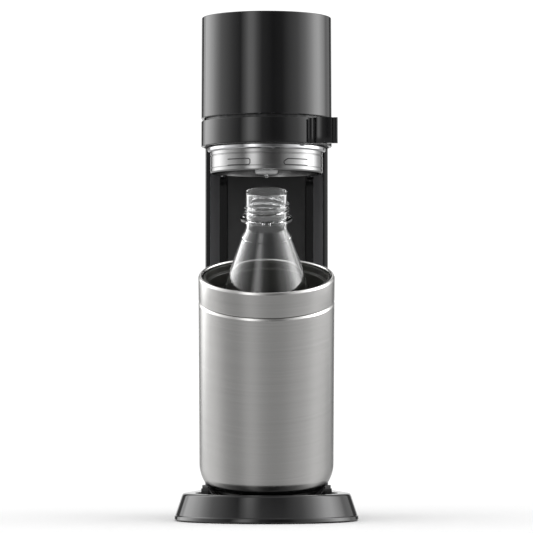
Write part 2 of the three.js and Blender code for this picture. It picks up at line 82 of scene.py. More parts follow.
# ------------------------------------------------------------------ materials
class Nodes:
    """A material's node tree, with short calls to add and link nodes."""

    def __init__(self, name):
        self.material = bpy.data.materials.new(name)
        self.material.use_nodes = True
        self.tree = self.material.node_tree
        self.shader = self.tree.nodes["Principled BSDF"]

    def add(self, kind, **values):
        node = self.tree.nodes.new(kind)
        for key, value in values.items():
            if hasattr(node, key):
                setattr(node, key, value)
            else:
                node.inputs[key.replace("_", " ")].default_value = value
        return node

    def link(self, source, target):
        self.tree.links.new(source, target)

    def set(self, **values):
        for key, value in values.items():
            self.shader.inputs[key.replace("_", " ")].default_value = value

    def position(self, scale):
        """Object coordinates, stretched by a scale along each axis."""
        coords = self.add("ShaderNodeTexCoord")
        mapping = self.add("ShaderNodeMapping")
        mapping.inputs["Scale"].default_value = scale
        self.link(coords.outputs["Object"], mapping.inputs["Vector"])
        return mapping.outputs["Vector"]

    def noise(self, scale, stretch=(1, 1, 1), detail=3.0, roughness=0.5):
        noise = self.add("ShaderNodeTexNoise", Scale=scale, Detail=detail, Roughness=roughness)
        self.link(self.position(stretch), noise.inputs["Vector"])
        return noise.outputs["Fac"]

    def ranged(self, value, low_value, high_value):
        """Maps the middle half of a noise to a range."""
        spread = self.add("ShaderNodeMapRange")
        spread.inputs["From Min"].default_value = 0.25
        spread.inputs["From Max"].default_value = 0.75
        spread.inputs["To Min"].default_value = low_value
        spread.inputs["To Max"].default_value = high_value
        self.link(value, spread.inputs["Value"])
        return spread.outputs["Result"]

    def blended(self, value, dark, light):
        ramp = self.add("ShaderNodeValToRGB")
        ramp.color_ramp.elements[0].position = 0.3
        ramp.color_ramp.elements[1].position = 0.7
        ramp.color_ramp.elements[0].color = (*dark, 1)
        ramp.color_ramp.elements[1].color = (*light, 1)
        self.link(value, ramp.inputs["Fac"])
        return ramp.outputs["Color"]

    def calculate(self, operation, first, second):
        """A math node on an output and a second output or a number."""
        node = self.add("ShaderNodeMath", operation=operation)
        self.link(first, node.inputs[0])
        if isinstance(second, float):
            node.inputs[1].default_value = second
        else:
            self.link(second, node.inputs[1])
        return node.outputs[0]

    def paint_reflection_on_slanted_faces(self, surface, painted_reflection):
        """A painted reflection: another colour, standing in for mirrored light, on the faces that turn both in
        towards x = 0 and forwards.
        """
        geometry = self.add("ShaderNodeNewGeometry")
        normal, position = self.add("ShaderNodeSeparateXYZ"), self.add("ShaderNodeSeparateXYZ")
        self.link(geometry.outputs["Normal"], normal.inputs[0])
        self.link(geometry.outputs["Position"], position.inputs[0])
        inward = self.calculate("MULTIPLY", normal.outputs["X"], position.outputs["X"])
        turned_in = self.calculate("LESS_THAN", inward, -0.012)
        turned_forward = self.calculate("LESS_THAN", normal.outputs["Y"], -0.12)
        mix = self.add("ShaderNodeMix", data_type="RGBA")
        self.link(self.calculate("MULTIPLY", turned_in, turned_forward), mix.inputs["Factor"])
        self.link(surface, mix.inputs[6])
        mix.inputs[7].default_value = (*painted_reflection, 1)
        return mix.outputs[2]

    def bump(self, value, strength, distance):
        bump = self.add("ShaderNodeBump", Strength=strength, Distance=distance)
        self.link(value, bump.inputs["Height"])
        self.link(bump.outputs["Normal"], self.shader.inputs["Normal"])


def gloss_plastic(name, color, roughness, painted_reflection=None):
    """Smooth moulded plastic. The last argument, if given, is a painted reflection: another colour for faces that
    slant inwards and forwards.
    """
    m = Nodes(name)
    m.set(IOR=1.5, Metallic=0.0)
    wear = m.noise(18, detail=4)
    m.link(m.ranged(wear, roughness, roughness + 0.05), m.shader.inputs["Roughness"])
    lighter = tuple(c * 1.25 + 0.0006 for c in color)
    surface = m.blended(m.noise(30), color, lighter)
    # Painted reflection on the faces that slant inwards and forwards.
    if painted_reflection:
        surface = m.paint_reflection_on_slanted_faces(surface, painted_reflection)
    m.link(surface, m.shader.inputs["Base Color"])
    m.bump(m.noise(140, detail=1), 0.05, 0.0002)
    return m.material


def grained_plastic(name, color, roughness, grain=1800, depth=0.25):
    """Plastic or rubber with a fine grain."""
    m = Nodes(name)
    m.set(IOR=1.48)
    lighter = tuple(c * 1.3 + 0.001 for c in color)
    m.link(m.blended(m.noise(60, detail=5), color, lighter), m.shader.inputs["Base Color"])
    m.link(m.ranged(m.noise(220), roughness - 0.05, roughness + 0.07), m.shader.inputs["Roughness"])
    m.bump(m.noise(grain, detail=2), depth, 0.00012)
    return m.material


def turned_metal(name, color, roughness, anisotropy, contrast=0.06, lines=1.0):
    """Metal brushed round its own Z axis: fine, faint streaks that run round it."""
    m = Nodes(name)
    m.set(Metallic=1.0, Anisotropic=anisotropy)
    fine = m.noise(2600 * lines, stretch=(0.004, 0.004, 1), detail=3, roughness=0.6)
    broad = m.noise(260 * lines, stretch=(0.01, 0.01, 1), detail=3, roughness=0.5)
    mixed = m.add("ShaderNodeMix", data_type="FLOAT")
    mixed.inputs["Factor"].default_value = 0.25
    m.link(fine, mixed.inputs["A"])
    m.link(broad, mixed.inputs["B"])
    streaks = mixed.outputs["Result"]
    dark = tuple(c * (1 - contrast) for c in color)
    light = tuple(c * (1 + contrast) for c in color)
    m.link(m.blended(streaks, dark, light), m.shader.inputs["Base Color"])
    m.link(m.ranged(streaks, roughness - 0.03, roughness + 0.03), m.shader.inputs["Roughness"])
    m.bump(streaks, 0.06, 0.00003)
    tangent = m.add("ShaderNodeTangent", direction_type="RADIAL", axis="Z")
    m.link(tangent.outputs["Tangent"], m.shader.inputs["Tangent"])
    return m.material


def plain_metal(name, color, roughness):
    """Polished metal with faint, uneven wear."""
    m = Nodes(name)
    m.set(Metallic=1.0)
    darker = tuple(c * 0.9 for c in color)
    m.link(m.blended(m.noise(90, detail=5), darker, color), m.shader.inputs["Base Color"])
    m.link(m.ranged(m.noise(160, detail=4), roughness, roughness + 0.07), m.shader.inputs["Roughness"])
    m.bump(m.noise(700), 0.03, 0.0001)
    return m.material


def clear_plastic(name, tint):
    """Clear plastic, smooth but for a slight unevenness of its wall."""
    m = Nodes(name)
    m.set(IOR=1.46, Transmission_Weight=1.0, Base_Color=(*tint, 1))
    m.link(m.ranged(m.noise(25, detail=2), 0.0, 0.004), m.shader.inputs["Roughness"])
    m.bump(m.noise(35, detail=2), 0.012, 0.0006)
    return m.material


DEEP_BLACK = (0.0032, 0.0032, 0.0035)
GLOSS_BLACK = gloss_plastic("gloss_black_plastic", DEEP_BLACK, 0.05)
# The tower's slanted inner faces get a lighter grey, a painted reflection of the studio light.
TOWER_BLACK_PAINTED_REFLECTION = gloss_plastic("tower_plastic_painted_reflection", DEEP_BLACK, 0.05, painted_reflection=(0.13, 0.13, 0.135))
SATIN_BLACK = grained_plastic("satin_black_plastic", (0.012, 0.012, 0.0125), 0.34)
INNER_BLACK = grained_plastic("inner_plastic", (0.028, 0.028, 0.03), 0.5)
LINER = grained_plastic("liner_plastic", (0.03, 0.03, 0.026), 0.36, grain=900, depth=0.15)
BRUSHED_STEEL = turned_metal("brushed_steel", (0.57, 0.565, 0.555), 0.24, 0.5)
LOCK_STEEL = turned_metal("lock_ring_steel", (0.27, 0.27, 0.27), 0.17, 0.5, contrast=0.03, lines=1.6)
POLISHED_STEEL = plain_metal("polished_steel", (0.5, 0.5, 0.51), 0.08)
ALUMINIUM = turned_metal("aluminium", (0.62, 0.63, 0.64), 0.3, 0.3)
BRASS = turned_metal("brass", (0.64, 0.46, 0.2), 0.25, 0.3)
NOZZLE_GREY = grained_plastic("nozzle_plastic", (0.42, 0.42, 0.42), 0.3, depth=0.1)
RUBBER = grained_plastic("black_rubber", (0.012, 0.012, 0.012), 0.75, grain=700, depth=0.5)
SEAL_RUBBER = grained_plastic("seal_rubber", (0.55, 0.55, 0.54), 0.55, grain=900, depth=0.2)
LEVER_PLASTIC = grained_plastic("lever_plastic", (0.5, 0.07, 0.2), 0.35)
CLEAR = clear_plastic("clear_plastic", (0.985, 0.99, 0.99))

SLOT_FINISH = {
    "gloss_black_plastic": GLOSS_BLACK,
    "satin_black_plastic": SATIN_BLACK,
    "inner_plastic": INNER_BLACK,
    "liner_plastic": LINER,
    "brushed_steel": BRUSHED_STEEL,
    "polished_steel": POLISHED_STEEL,
    "aluminium": ALUMINIUM,
    "brass": BRASS,
    "black_rubber": RUBBER,
    "seal_rubber": SEAL_RUBBER,
    "lever_plastic": LEVER_PLASTIC,
    "clear_plastic": CLEAR,
}


# ------------------------------------------------------------------ meshes
def smooth(obj, angle=32):
    obj.data.shade_smooth()
    obj.data.set_sharp_from_angle(angle=math.radians(angle))


def mesh_object(name, vertices, faces, place=Matrix.Identity(4)):
    mesh = bpy.data.meshes.new(name)
    mesh.from_pydata([tuple(v) for v in vertices], [], faces)
    mesh.validate()
    mesh.update()
    obj = bpy.data.objects.new(name, mesh)
    bpy.context.scene.collection.objects.link(obj)
    obj.matrix_world = place
    smooth(obj)
    return obj


def fillet(corners, closed, steps=5):
    """A polyline through (u, v) or (u, v, radius) corners, with the corners that have a radius rounded."""
    points = []
    count = len(corners)
    for i, corner in enumerate(corners):
        radius = corner[2] if len(corner) > 2 else 0
        here = Vector(corner[:2])
        at_end = not closed and i in (0, count - 1)
        if radius <= 0 or at_end:
            points.append(here)
            continue
        before = Vector(corners[i - 1][:2]) - here
        after = Vector(corners[(i + 1) % count][:2]) - here
        half = before.angle(after) / 2
        reach = min(radius / math.tan(half), before.length * 0.49, after.length * 0.49)
        real = reach * math.tan(half)
        start, end = here + before.normalized() * reach, here + after.normalized() * reach
        centre = here + (before.normalized() + after.normalized()).normalized() * (real / math.sin(half))
        a, b = start - centre, end - centre
        turn = a.angle_signed(b)
        for k in range(steps + 1):
            points.append(centre + Matrix.Rotation(-turn * k / steps, 2) @ a)
    return [(p.x, p.y) for p in points]


def lathe(name, corners, place=HEAD_FRAME, closed=False, segments=SEGMENTS, steps=5, swell=None):
    """Turns a profile of (radius, height, fillet) corners, in mm, round Z. An open one ends on the axis.
    swell(angle, radius, height) may add to the radius, in mm."""
    profile = fillet(corners, closed, steps)
    vertices, rows = [], []
    for r, z in profile:
        if r < 1e-6:
            rows.append([len(vertices)])
            vertices.append((0, 0, z * MM))
            continue
        rows.append(list(range(len(vertices), len(vertices) + segments)))
        for k in range(segments):
            angle = 2 * math.pi * k / segments
            radius = r + (swell(angle, r, z) if swell else 0)
            vertices.append((radius * math.cos(angle) * MM, radius * math.sin(angle) * MM, z * MM))
    faces = []
    pairs = list(zip(rows, rows[1:]))
    if closed:
        pairs.append((rows[-1], rows[0]))
    for lower, upper in pairs:
        for k in range(segments):
            n = (k + 1) % segments
            if len(lower) == 1:
                faces.append((lower[0], upper[n], upper[k]))
            elif len(upper) == 1:
                faces.append((lower[k], lower[n], upper[0]))
            else:
                faces.append((lower[k], lower[n], upper[n], upper[k]))
    return mesh_object(name, vertices, faces, place)


def egg(front_radius, rear_radius, rear_y, count=120):
    """The rubber-band outline round a front circle at the head's axis and a rear circle, in metres."""
    lean = math.asin((front_radius - rear_radius) / (rear_y - HEAD_Y))
    points = []
    for start, end, radius, centre in (
        (lean, math.pi - lean, rear_radius, rear_y),
        (math.pi - lean, 2 * math.pi + lean, front_radius, HEAD_Y),
    ):
        for k in range(count // 2 + 1):
            angle = start + (end - start) * k / (count // 2)
            points.append((radius * math.cos(angle), centre + radius * math.sin(angle)))
    return points


def loft(name, levels):
    """A closed solid through outlines of equal length: [(outline, z), ...], in metres."""
    count = len(levels[0][0])
    vertices = [(x, y, z) for outline, z in levels for x, y in outline]
    faces = [tuple(reversed(range(count)))]
    for level in range(len(levels) - 1):
        for k in range(count):
            a, b = level * count + k, level * count + (k + 1) % count
            faces.append((a, b, b + count, a + count))
    faces.append(tuple(range((len(levels) - 1) * count, len(levels) * count)))
    return mesh_object(name, vertices, faces)


def prism(name, outline, z0, z1, bevel=0.0, place=Matrix.Identity(4)):
    """An upright solid on a plan outline in metres, with its edges rounded by `bevel`."""
    count = len(outline)
    vertices = [(x, y, z) for z in (z0, z1) for x, y in outline]
    faces = [tuple(reversed(range(count))), tuple(range(count, 2 * count))]
    for k in range(count):
        n = (k + 1) % count
        faces.append((k, n, n + count, k + count))
    obj = mesh_object(name, vertices, faces, place)
    if bevel:
        round_edges(obj, bevel)
    return obj


def round_edges(obj, width, segments=3, angle=30):
    """Bevels the edges that are sharper than the angle, in degrees."""
    bevel = obj.modifiers.new("round", "BEVEL")
    bevel.width = width
    bevel.segments = segments
    bevel.limit_method = "ANGLE"
    bevel.angle_limit = math.radians(angle)
    bevel.harden_normals = False


def settle(obj, angle=32):
    """Turns an object's modifiers into its mesh."""
    bpy.context.view_layer.update()
    evaluated = obj.evaluated_get(bpy.context.evaluated_depsgraph_get())
    mesh = bpy.data.meshes.new_from_object(evaluated)
    obj.modifiers.clear()
    obj.data = mesh
    smooth(obj, angle)
    return obj


def combine(obj, operation, *tools):
    """Cuts tools from obj, or joins them to it, and removes them."""
    for tool in tools:
        boolean = obj.modifiers.new(operation, "BOOLEAN")
        boolean.operation = operation
        boolean.solver = "EXACT"
        boolean.object = tool
    settle(obj)
    for tool in tools:
        bpy.data.objects.remove(tool)
    return obj


def block(name, x0, x1, y0, y1, z0, z1, bevel=0.0, place=Matrix.Identity(4)):
    return prism(name, [(x0, y0), (x1, y0), (x1, y1), (x0, y1)], z0, z1, bevel, place)


def place_piece(obj, body, material, slot, *replaced):
    """Gives a piece its material, and rides it on its body in place of the CAD nodes named. The slot argument is
    not used.
    """
    obj.data.materials.clear()
    obj.data.materials.append(material)
    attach(obj, body)
    if replaced:
        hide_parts(*replaced)
    return obj


# ------------------------------------------------------------------ base
BASE_TAIL_RADIUS = 56.5  # all these in mm
BASE_WALL = 3
RECESS_RADIUS = 61
RECESS_FLOOR = 8


def build_base():
    shell_low, shell_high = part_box("base_shell")
    front = shell_high.x
    tail = BASE_TAIL_RADIUS * MM
    profile = [  # inset of the front circle, inset of the tail circle, height above the shell's foot
        (0.4, 0.2, 0.0), (0.0, 0.0, 0.5), (0.0, 0.0, 3.0), (0.2, 0.1, 3.4), (0.7, 0.35, 3.8),
        (1.0, 0.45, 4.2), (6.6, 1.5, 21.0), (7.2, 1.65, 22.0), (7.9, 2.0, 22.7), (8.8, 2.7, 23.0),
    ]
    levels = []
    for front_inset, tail_inset, height in profile:
        radius = tail - tail_inset * MM
        outline = egg(front - front_inset * MM, radius, REAR_Y - tail_inset * MM - radius)
        levels.append((outline, shell_low.z + height * MM))
    shell = loft("base_shell_look", levels)
    inside = egg(front - BASE_WALL * MM, tail - BASE_WALL * MM, REAR_Y - tail)
    under = loft("under", [(inside, shell_low.z - 2 * MM), (inside, shell_low.z + 3.2 * MM)])
    r, floor = RECESS_RADIUS, RECESS_FLOOR
    recess = lathe(
        "recess",
        [(0, floor), (r, floor, 3), (r, 21.5), (r + 1.2, 23.2), (r + 2, 25), (r + 2, 30), (0, 30)],
    )
    combine(shell, "DIFFERENCE", under, recess)
    place_piece(shell, "frame", GLOSS_BLACK, "gloss_black_plastic", "base_shell")

    mat = lathe("recess_mat", [(0, 8.1), (40, 8.1), (40, 9.1, 0.4), (0, 9.1)])
    place_piece(mat, "frame", RUBBER, "black_rubber")


# ------------------------------------------------------------------ tower
COVER_WALL = 2.5 * MM
LATCH_GAP = 0.3 * MM


def build_back_cover():
    cover_low, cover_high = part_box("back_cover")

    def u_outline(half_width, start):
        points = [(half_width, start)]
        for k in range(65):
            angle = math.pi * k / 64
            points.append((half_width * math.cos(angle), REAR_CENTRE_Y + half_width * math.sin(angle)))
        points.append((-half_width, start))
        return points

    outer = u_outline(TOWER_HALF_WIDTH, cover_low.y)
    inner = u_outline(TOWER_HALF_WIDTH - COVER_WALL, cover_low.y)
    cover = prism("back_cover_look", outer + list(reversed(inner)), cover_low.z, cover_high.z)
    latch_low, latch_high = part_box("cover_latch")
    notch = block(
        "notch", latch_low.x - LATCH_GAP, latch_high.x + LATCH_GAP, REAR_Y - 9 * MM, REAR_Y + 4 * MM,
        latch_low.z - LATCH_GAP, latch_high.z + LATCH_GAP,
    )
    combine(cover, "DIFFERENCE", notch)
    round_edges(cover, 0.5 * MM, 2)
    settle(cover)
    place_piece(cover, "back_cover", GLOSS_BLACK, "gloss_black_plastic", "back_cover")


# ------------------------------------------------------------------ head
HEAD_DRAFT = 0.35  # how much narrower the head is at its top, in mm
HEAD_CORNER = 0.9  # the rounding of its top edge, in mm


def build_head():
    head_low, head_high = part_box("head_cover")
    top = head_high.z
    rear = TOWER_HALF_WIDTH

    def level(inset, z):
        radius = rear - inset * MM
        return egg(HEAD_RADIUS - inset * MM, radius, REAR_Y - inset * MM - radius), z

    levels = [level(0.5, head_low.z), level(0.05, head_low.z + 0.5 * MM)]
    for k in range(6):
        angle = math.pi / 2 * k / 5
        inset = HEAD_DRAFT + HEAD_CORNER * (1 - math.cos(angle))
        levels.append(level(inset, top - (HEAD_CORNER - HEAD_CORNER * math.sin(angle)) * MM))
    cover = loft("head_cover_look", levels)
    inside = loft("inside", [level(2.5, head_low.z - 1 * MM), level(2.9, top - 3 * MM)])
    hole = lathe("hole", [(0, 420), (27.2, 420), (27.2, 445), (0, 445)])
    combine(cover, "DIFFERENCE", inside, hole)
    place_piece(cover, "frame", GLOSS_BLACK, "gloss_black_plastic", "head_cover")


def build_button():
    bezel = lathe(
        "button_bezel_look",
        [
            (24.6, 436), (27, 436), (27, 439.4, 0.5), (26.2, 440, 0.5), (25.2, 439.9, 0.5),
            (24.6, 438.8, 0.4),
        ],
        closed=True,
    )
    place_piece(bezel, "frame", POLISHED_STEEL, "polished_steel", "button_bezel")
    button = lathe(
        "carbonating_button_look",
        [
            (0, 416.8), (4, 416.8, 0.6), (4, 434), (24, 434, 0.6), (24, 439.4, 1.4), (17, 438.6, 6),
            (0, 438.2),
        ],
    )
    place_piece(button, "button", GLOSS_BLACK, "gloss_black_plastic", "carbonating_button")

    # The coil spring under the button gets a mesh of its own; nothing here makes it shorten as the button goes
    # down.
    coil = nodes["button_spring"]
    spring = bpy.data.objects.new("button_spring_look", coil.data.copy())
    bpy.context.scene.collection.objects.link(spring)
    spring.matrix_world = coil.matrix_world.copy()
    place_piece(spring, "frame", POLISHED_STEEL, "polished_steel", "button_spring")
    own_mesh(spring)


# ------------------------------------------------------------------ sliding lock head
BAND_WALL = 2.7  # in mm
KEY_SLOTS = ((-24.0, 9.7, 0), (25.3, 10.2, 1))  # middle and half width in mm, and whether chamfered
HOLLOW_CENTRE, HOLLOW_RADIUS = (38.51, -47.9), 4.16  # the grip's curves, in mm from the head's axis
BOW_CENTRE, BOW_RADIUS = (50, -27.7), 21.6


def build_handle_band():
    band_low, band_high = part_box("handle_band")
    z0, z1 = band_low.z / MM, band_high.z / MM
    r = HEAD_RADIUS / MM
    band = lathe(
        "handle_band_look",
        [(r - BAND_WALL, z0), (r, z0, 0.7), (r, z1, 0.7), (r - BAND_WALL, z1)],
        closed=True,
    )
    # The grip leaves the band in a hollow curve, runs out as a bowed plate and ends in a rounded bead.
    middle = HEAD_Y / MM
    hollow = []
    for k in range(17):
        angle = math.radians(128.8 - 119.2 * k / 16)
        hollow.append((
            HOLLOW_CENTRE[0] + HOLLOW_RADIUS * math.cos(angle),
            middle + HOLLOW_CENTRE[1] + HOLLOW_RADIUS * math.sin(angle),
        ))
    bow = []
    for k in range(13):
        angle = math.radians(-17.5 + 35 * k / 12)
        bow.append((
            BOW_CENTRE[0] + BOW_RADIUS * math.sin(angle),
            middle + BOW_CENTRE[1] - BOW_RADIUS * math.cos(angle),
        ))
    bead = fillet(
        [(57, middle - 46.9), (58, middle - 46.9), (58.1, middle - 47.8), (61.5, middle - 47.8, 3.2),
         (61.5, middle - 42, 1), (58, middle - 42)],
        closed=False, steps=10,
    )
    plan = [(34, middle - 42), *hollow, (42.85, middle - 48.0), *bow, *bead]
    outline = [(x * MM, y * MM) for x, y in plan]
    grip = prism("grip", outline, band_low.z, band_high.z)
    bore = r - BAND_WALL
    core = lathe("core", [(0, z0 - 5), (bore, z0 - 5), (bore, z1 + 5), (0, z1 + 5)])
    combine(grip, "DIFFERENCE", core)
    combine(band, "UNION", grip)
    round_edges(band, 0.6 * MM, 3, 50)
    settle(band)
    place_piece(band, "lock_head", GLOSS_BLACK, "gloss_black_plastic", "handle_band")


def build_lock_ring():
    r = high("lock_ring").x / MM
    flange_low, flange_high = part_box("lock_flange")
    f = flange_high.x / MM
    z0, z1 = flange_low.z / MM, flange_high.z / MM
    flange = lathe(
        "lock_flange_look",
        [(r + 0.3, z0 + 0.9), (f - 1.6, z0, 0.6), (f, z0 + 1.2, 0.8), (f, z1, 0.4), (r + 0.3, z1)],
        closed=True,
    )
    place_piece(flange, "lock_head", POLISHED_STEEL, "polished_steel", "lock_flange")

    z0, z1 = low("lock_ring").z / MM, high("lock_ring").z / MM
    ring = lathe(
        "lock_ring_look",
        [
            (r - 2, z0 + 0.6, 0.3), (r - 1.3, z0, 0.4), (r - 0.5, z0 + 0.3, 0.4),
            (r, z0 + 1.4, 0.5),
            (r, z0 + 4.0, 0.2), (r - 0.3, z0 + 4.2, 0.1), (r - 0.3, z0 + 4.5, 0.1),
            (r, z0 + 4.7, 0.2),
            (r, z0 + 14.6, 0.2), (r - 0.4, z0 + 14.9, 0.1), (r - 0.4, z0 + 15.5, 0.1),
            (r, z0 + 15.8, 0.2),
            (r, z1), (r - 2, z1),
        ],
        closed=True,
    )
    grooves = []
    for middle, half, chamfer in KEY_SLOTS:
        key = (middle, half, chamfer, r, z0 + 5.0, z0 + 10.2)
        grooves.append(slot_groove(*key))
        # A satin black strip set deep in each groove is painted shade: it stands in for the darkness inside the
        # groove.
        painted_shade = slot_groove(*key, width=0.88, bottom=1.55, crest=-0.2)
        painted_shade.name = "slot_inlay_left" if middle < 0 else "slot_inlay_right"
        place_piece(painted_shade, "lock_head", SATIN_BLACK, "satin_black_plastic")
    combine(ring, "DIFFERENCE", *grooves)
    place_piece(ring, "lock_head", LOCK_STEEL, "brushed_steel", "lock_ring")


def slot_groove(middle, half, chamfer, radius, z0, z1, width=0.9, bottom=1.6, crest=1.5):
    """A bent bar along the outline of a key on the front of a turned wall, from `bottom` under the
    wall's radius to `crest` over it, in mm. The outline is open on its outer side, and its inner end
    is square, or chamfered at the top."""
    inner = middle + half if middle < 0 else middle - half
    outer = middle - half if middle < 0 else middle + half
    step = 1 if middle < 0 else -1
    path = [(outer, z0), (inner - 1.0 * step, z0), (inner, z0 + 1.2)]
    if chamfer:
        path += [(inner, z1 - 2.4), (inner - 3.2 * step, z1)]
    else:
        path += [(inner, z1 - 1.2), (inner - 1.0 * step, z1)]
    path.append((outer, z1))
    dense = []
    for (xa, za), (xb, zb) in zip(path, path[1:]):
        count = max(1, round(abs(xb - xa) / 1.2))
        dense += [(xa + (xb - xa) * k / count, za + (zb - za) * k / count) for k in range(count)]
    dense.append(path[-1])
    vertices, faces = [], []
    for k, (x, z) in enumerate(dense):
        before, after = Vector(dense[max(k - 1, 0)]), Vector(dense[min(k + 1, len(dense) - 1)])
        side = (after - before).normalized() * width / 2
        for du, dv in ((-side.y, side.x), (side.y, -side.x)):
            for reach in (radius - bottom, radius + crest):
                angle = math.asin((x + du) / radius)
                vertices.append((reach * math.sin(angle) * MM, -reach * math.cos(angle) * MM, (z + dv) * MM))
    for k in range(len(dense) - 1):
        a, b = 4 * k, 4 * k + 4
        faces += [
            (a, a + 1, b + 1, b), (a + 2, b + 2, b + 3, a + 3),
            (a, b, b + 2, a + 2), (a + 1, a + 3, b + 3, b + 1),
        ]
    last = 4 * len(dense) - 4
    faces += [(0, 2, 3, 1), (last, last + 1, last + 3, last + 2)]
    return mesh_object("slot_groove", vertices, faces, HEAD_FRAME)


def build_nozzle():
    nozzle = lathe(
        "nozzle_look",
        [
            (2, 303.0), (8.8, 303.0, 0.6), (10, 304.4, 0.8), (10, 330, 1.5), (13, 334, 1),
            (13, 341.2), (9, 341.2), (9, 352), (5.5, 353), (5.5, 360), (2, 360),
        ],
        closed=True,
    )
    place_piece(nozzle, "lock_head", NOZZLE_GREY, "satin_black_plastic", "nozzle_body")
    tip = lathe(
        "nozzle_tip_look",
        [(1.1, 299.7, 0.2), (1.7, 299.7, 0.3), (1.7, 322), (1.1, 322)],
        closed=True, segments=48,
    )
    place_piece(tip, "lock_head", CLEAR, "clear_plastic", "nozzle_tip")
    seal = lathe(
        "nozzle_seal_look",
        [(9.4, 341.6), (12, 341.6), (17, 341.6, 0.8), (19, 342.6, 0.8), (19, 345.2), (9.4, 345.2)],
        closed=True,
    )
    place_piece(seal, "lock_head", SEAL_RUBBER, "seal_rubber", "nozzle_seal")


# ------------------------------------------------------------------ carrier
CARRIER_RADIUS = 58.4  # these in mm, along the carrier's own axis
CARRIER_TOP = 197.5
COLLAR_FOOT = 175.5


def build_carrier():
    r, top, neck = CARRIER_RADIUS, CARRIER_TOP, COLLAR_FOOT
    shell = lathe(
        "carrier_shell_look",
        [
            (0, 0), (r, 0, 28), (r, neck - 2.6, 2), (r - 1.1, neck - 0.7, 0.6), (r - 2.6, neck - 0.7),
            (r - 2.6, neck - 3.4), (r - 1.3, neck - 5), (r - 1.3, 1.2, 27), (0, 1.2),
        ],
        place=CARRIER_FRAME, steps=16,
    )
    place_piece(shell, "carrier", BRUSHED_STEEL, "brushed_steel", "carrier_shell")
    collar = lathe(
        "carrier_collar_look",
        [
            (r - 4, neck - 0.3), (r - 0.7, neck - 0.3, 0.3), (r, neck + 0.6, 0.6),
            (r + 0.1, top - 2, 1.8), (r - 0.9, top, 0.9), (r - 2.6, top, 0.6),
            (r - 3.2, top - 1.2, 0.4), (r - 4, top - 1.6),
        ],
        place=CARRIER_FRAME, closed=True,
    )
    place_piece(collar, "carrier", BRUSHED_STEEL, "brushed_steel", "carrier_collar")
    liner = lathe(
        "carrier_liner_look",
        [
            (0, 1.6), (r - 1.6, 1.6, 26), (r - 1.6, neck - 6.2), (r - 4.4, neck - 3.2),
            (r - 4.4, top - 2), (r - 5.2, top - 1.4, 0.4), (r - 6.6, top - 2, 0.5),
            (r - 6.6, top - 7, 0.5), (r - 8.6, top - 8, 0.8), (r - 8.6, neck - 6, 2),
            (r - 5, neck - 12, 3), (r - 5, 4, 23), (0, 4),
        ],
        place=CARRIER_FRAME, steps=8,
    )
    place_piece(liner, "carrier", LINER, "liner_plastic", "carrier_liner")


# ------------------------------------------------------------------ bottle
BOTTLE_TOP = 271.0  # these in mm, along the carrier's own axis
NECK_RADIUS = 17.8
THREAD_PITCH = 4.7
THREAD_FOOT = 250.6
THREAD_TURNS = 2.5


def thread_ridge(angle, radius, height):
    """How far the screw thread stands out of the neck. It runs out at both ends."""
    if not 17.5 < radius < 18.1:
        return 0
    turns_in = (height - THREAD_FOOT) / THREAD_PITCH - angle / (2 * math.pi)
    nearest = round(turns_in)
    along = nearest + angle / (2 * math.pi)
    if not 0 <= along <= THREAD_TURNS:
        return 0
    fade = min(1, along * 6, (THREAD_TURNS - along) * 6)
    offset = (turns_in - nearest) * THREAD_PITCH
    return 1.8 * fade * math.exp(-((offset / 0.8) ** 4))


def neck_swell(angle, radius, height):
    """Two small breaks at the front of the support ring, and the thread over it."""
    if radius < 21 or not 245.5 < height < 249:
        return thread_ridge(angle, radius, height)
    front = (angle - 1.5 * math.pi) * 180 / math.pi
    return -2.2 if 5.5 < abs(front) < 8.5 else 0


def build_bottle():
    neck = NECK_RADIUS
    neck_rows = [(neck, z) for z in np.arange(249.6, 269.6, 0.35)]
    corners = [
        (0, 13), (14, 12.2, 6), (24, 8.2, 3), (34, 7.2, 4), (43.5, 7.4, 8), (43.5, 58, 2),
        (43.1, 61, 3), (43.5, 64, 2), (43.5, 167, 20), (22.1, 228.8, 2), (21.6, 230.4, 0.5),
        (22.0, 231.4, 0.5), (21.4, 232.3, 0.8), (neck, 238.4, 6), (neck, 245.6, 0.5),
        (22.3, 246.1, 0.5), (22.3, 248.3, 0.5), (neck, 248.9, 0.4),
        *neck_rows,
        (neck, BOTTLE_TOP - 1), (17.2, BOTTLE_TOP, 0.4), (15.7, BOTTLE_TOP, 0.4),
        (15.6, BOTTLE_TOP - 3), (15.6, 238.6, 6), (19.7, 229.4, 4), (41.8, 165.8, 20),
        (41.8, 9, 7), (34, 8.6, 3), (25, 9.6, 3), (14, 13.6, 6), (0, 14.4),
    ]
    bottle = lathe(
        "bottle_look", corners, place=CARRIER_FRAME, segments=256, steps=7, swell=neck_swell,
    )
    smooth(bottle, 50)
    place_piece(bottle, "bottle", CLEAR, "clear_plastic", "bottle")


# ------------------------------------------------------------------ gas cylinder
def build_gas_cylinder():
    gas_low, gas_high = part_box("gas_cylinder")
    centre = (gas_low + gas_high) / 2
    place = Matrix.Translation((centre.x, centre.y, 0))
    body = lathe(
        "gas_cylinder_look",
        [
            (0, 36), (14, 34, 6), (24, 31, 4), (30, 33, 5), (30, 318, 12), (26, 329, 12), (13, 341, 6),
            (11, 344, 2), (11, 352, 0.6), (0, 352),
        ],
        place=place, segments=96,
    )
    place_piece(body, "frame", ALUMINIUM, "aluminium", "gas_cylinder")


# ------------------------------------------------------------------ carried-over CAD nodes
def finish_cad_nodes():
    """Materials for every CAD node, and rounded edges on those that are seen and thick enough."""
    slots = {entry["node"]: entry["material_slot"] for entry in frame["record"]["subparts"]}
    for name, node in nodes.items():
        node.data.materials.clear()
        finish = TOWER_BLACK_PAINTED_REFLECTION if name == "tower_casing" else SLOT_FINISH[slots[name]]
        node.data.materials.append(finish)
        if node.hide_render:
            continue
        smooth(node)
        size = min(high(name)[axis] - low(name)[axis] for axis in range(3))
        if size > 2.4 * MM and name != "gas_feed_tube":
            round_edges(node, 0.3 * MM, 2, 35)


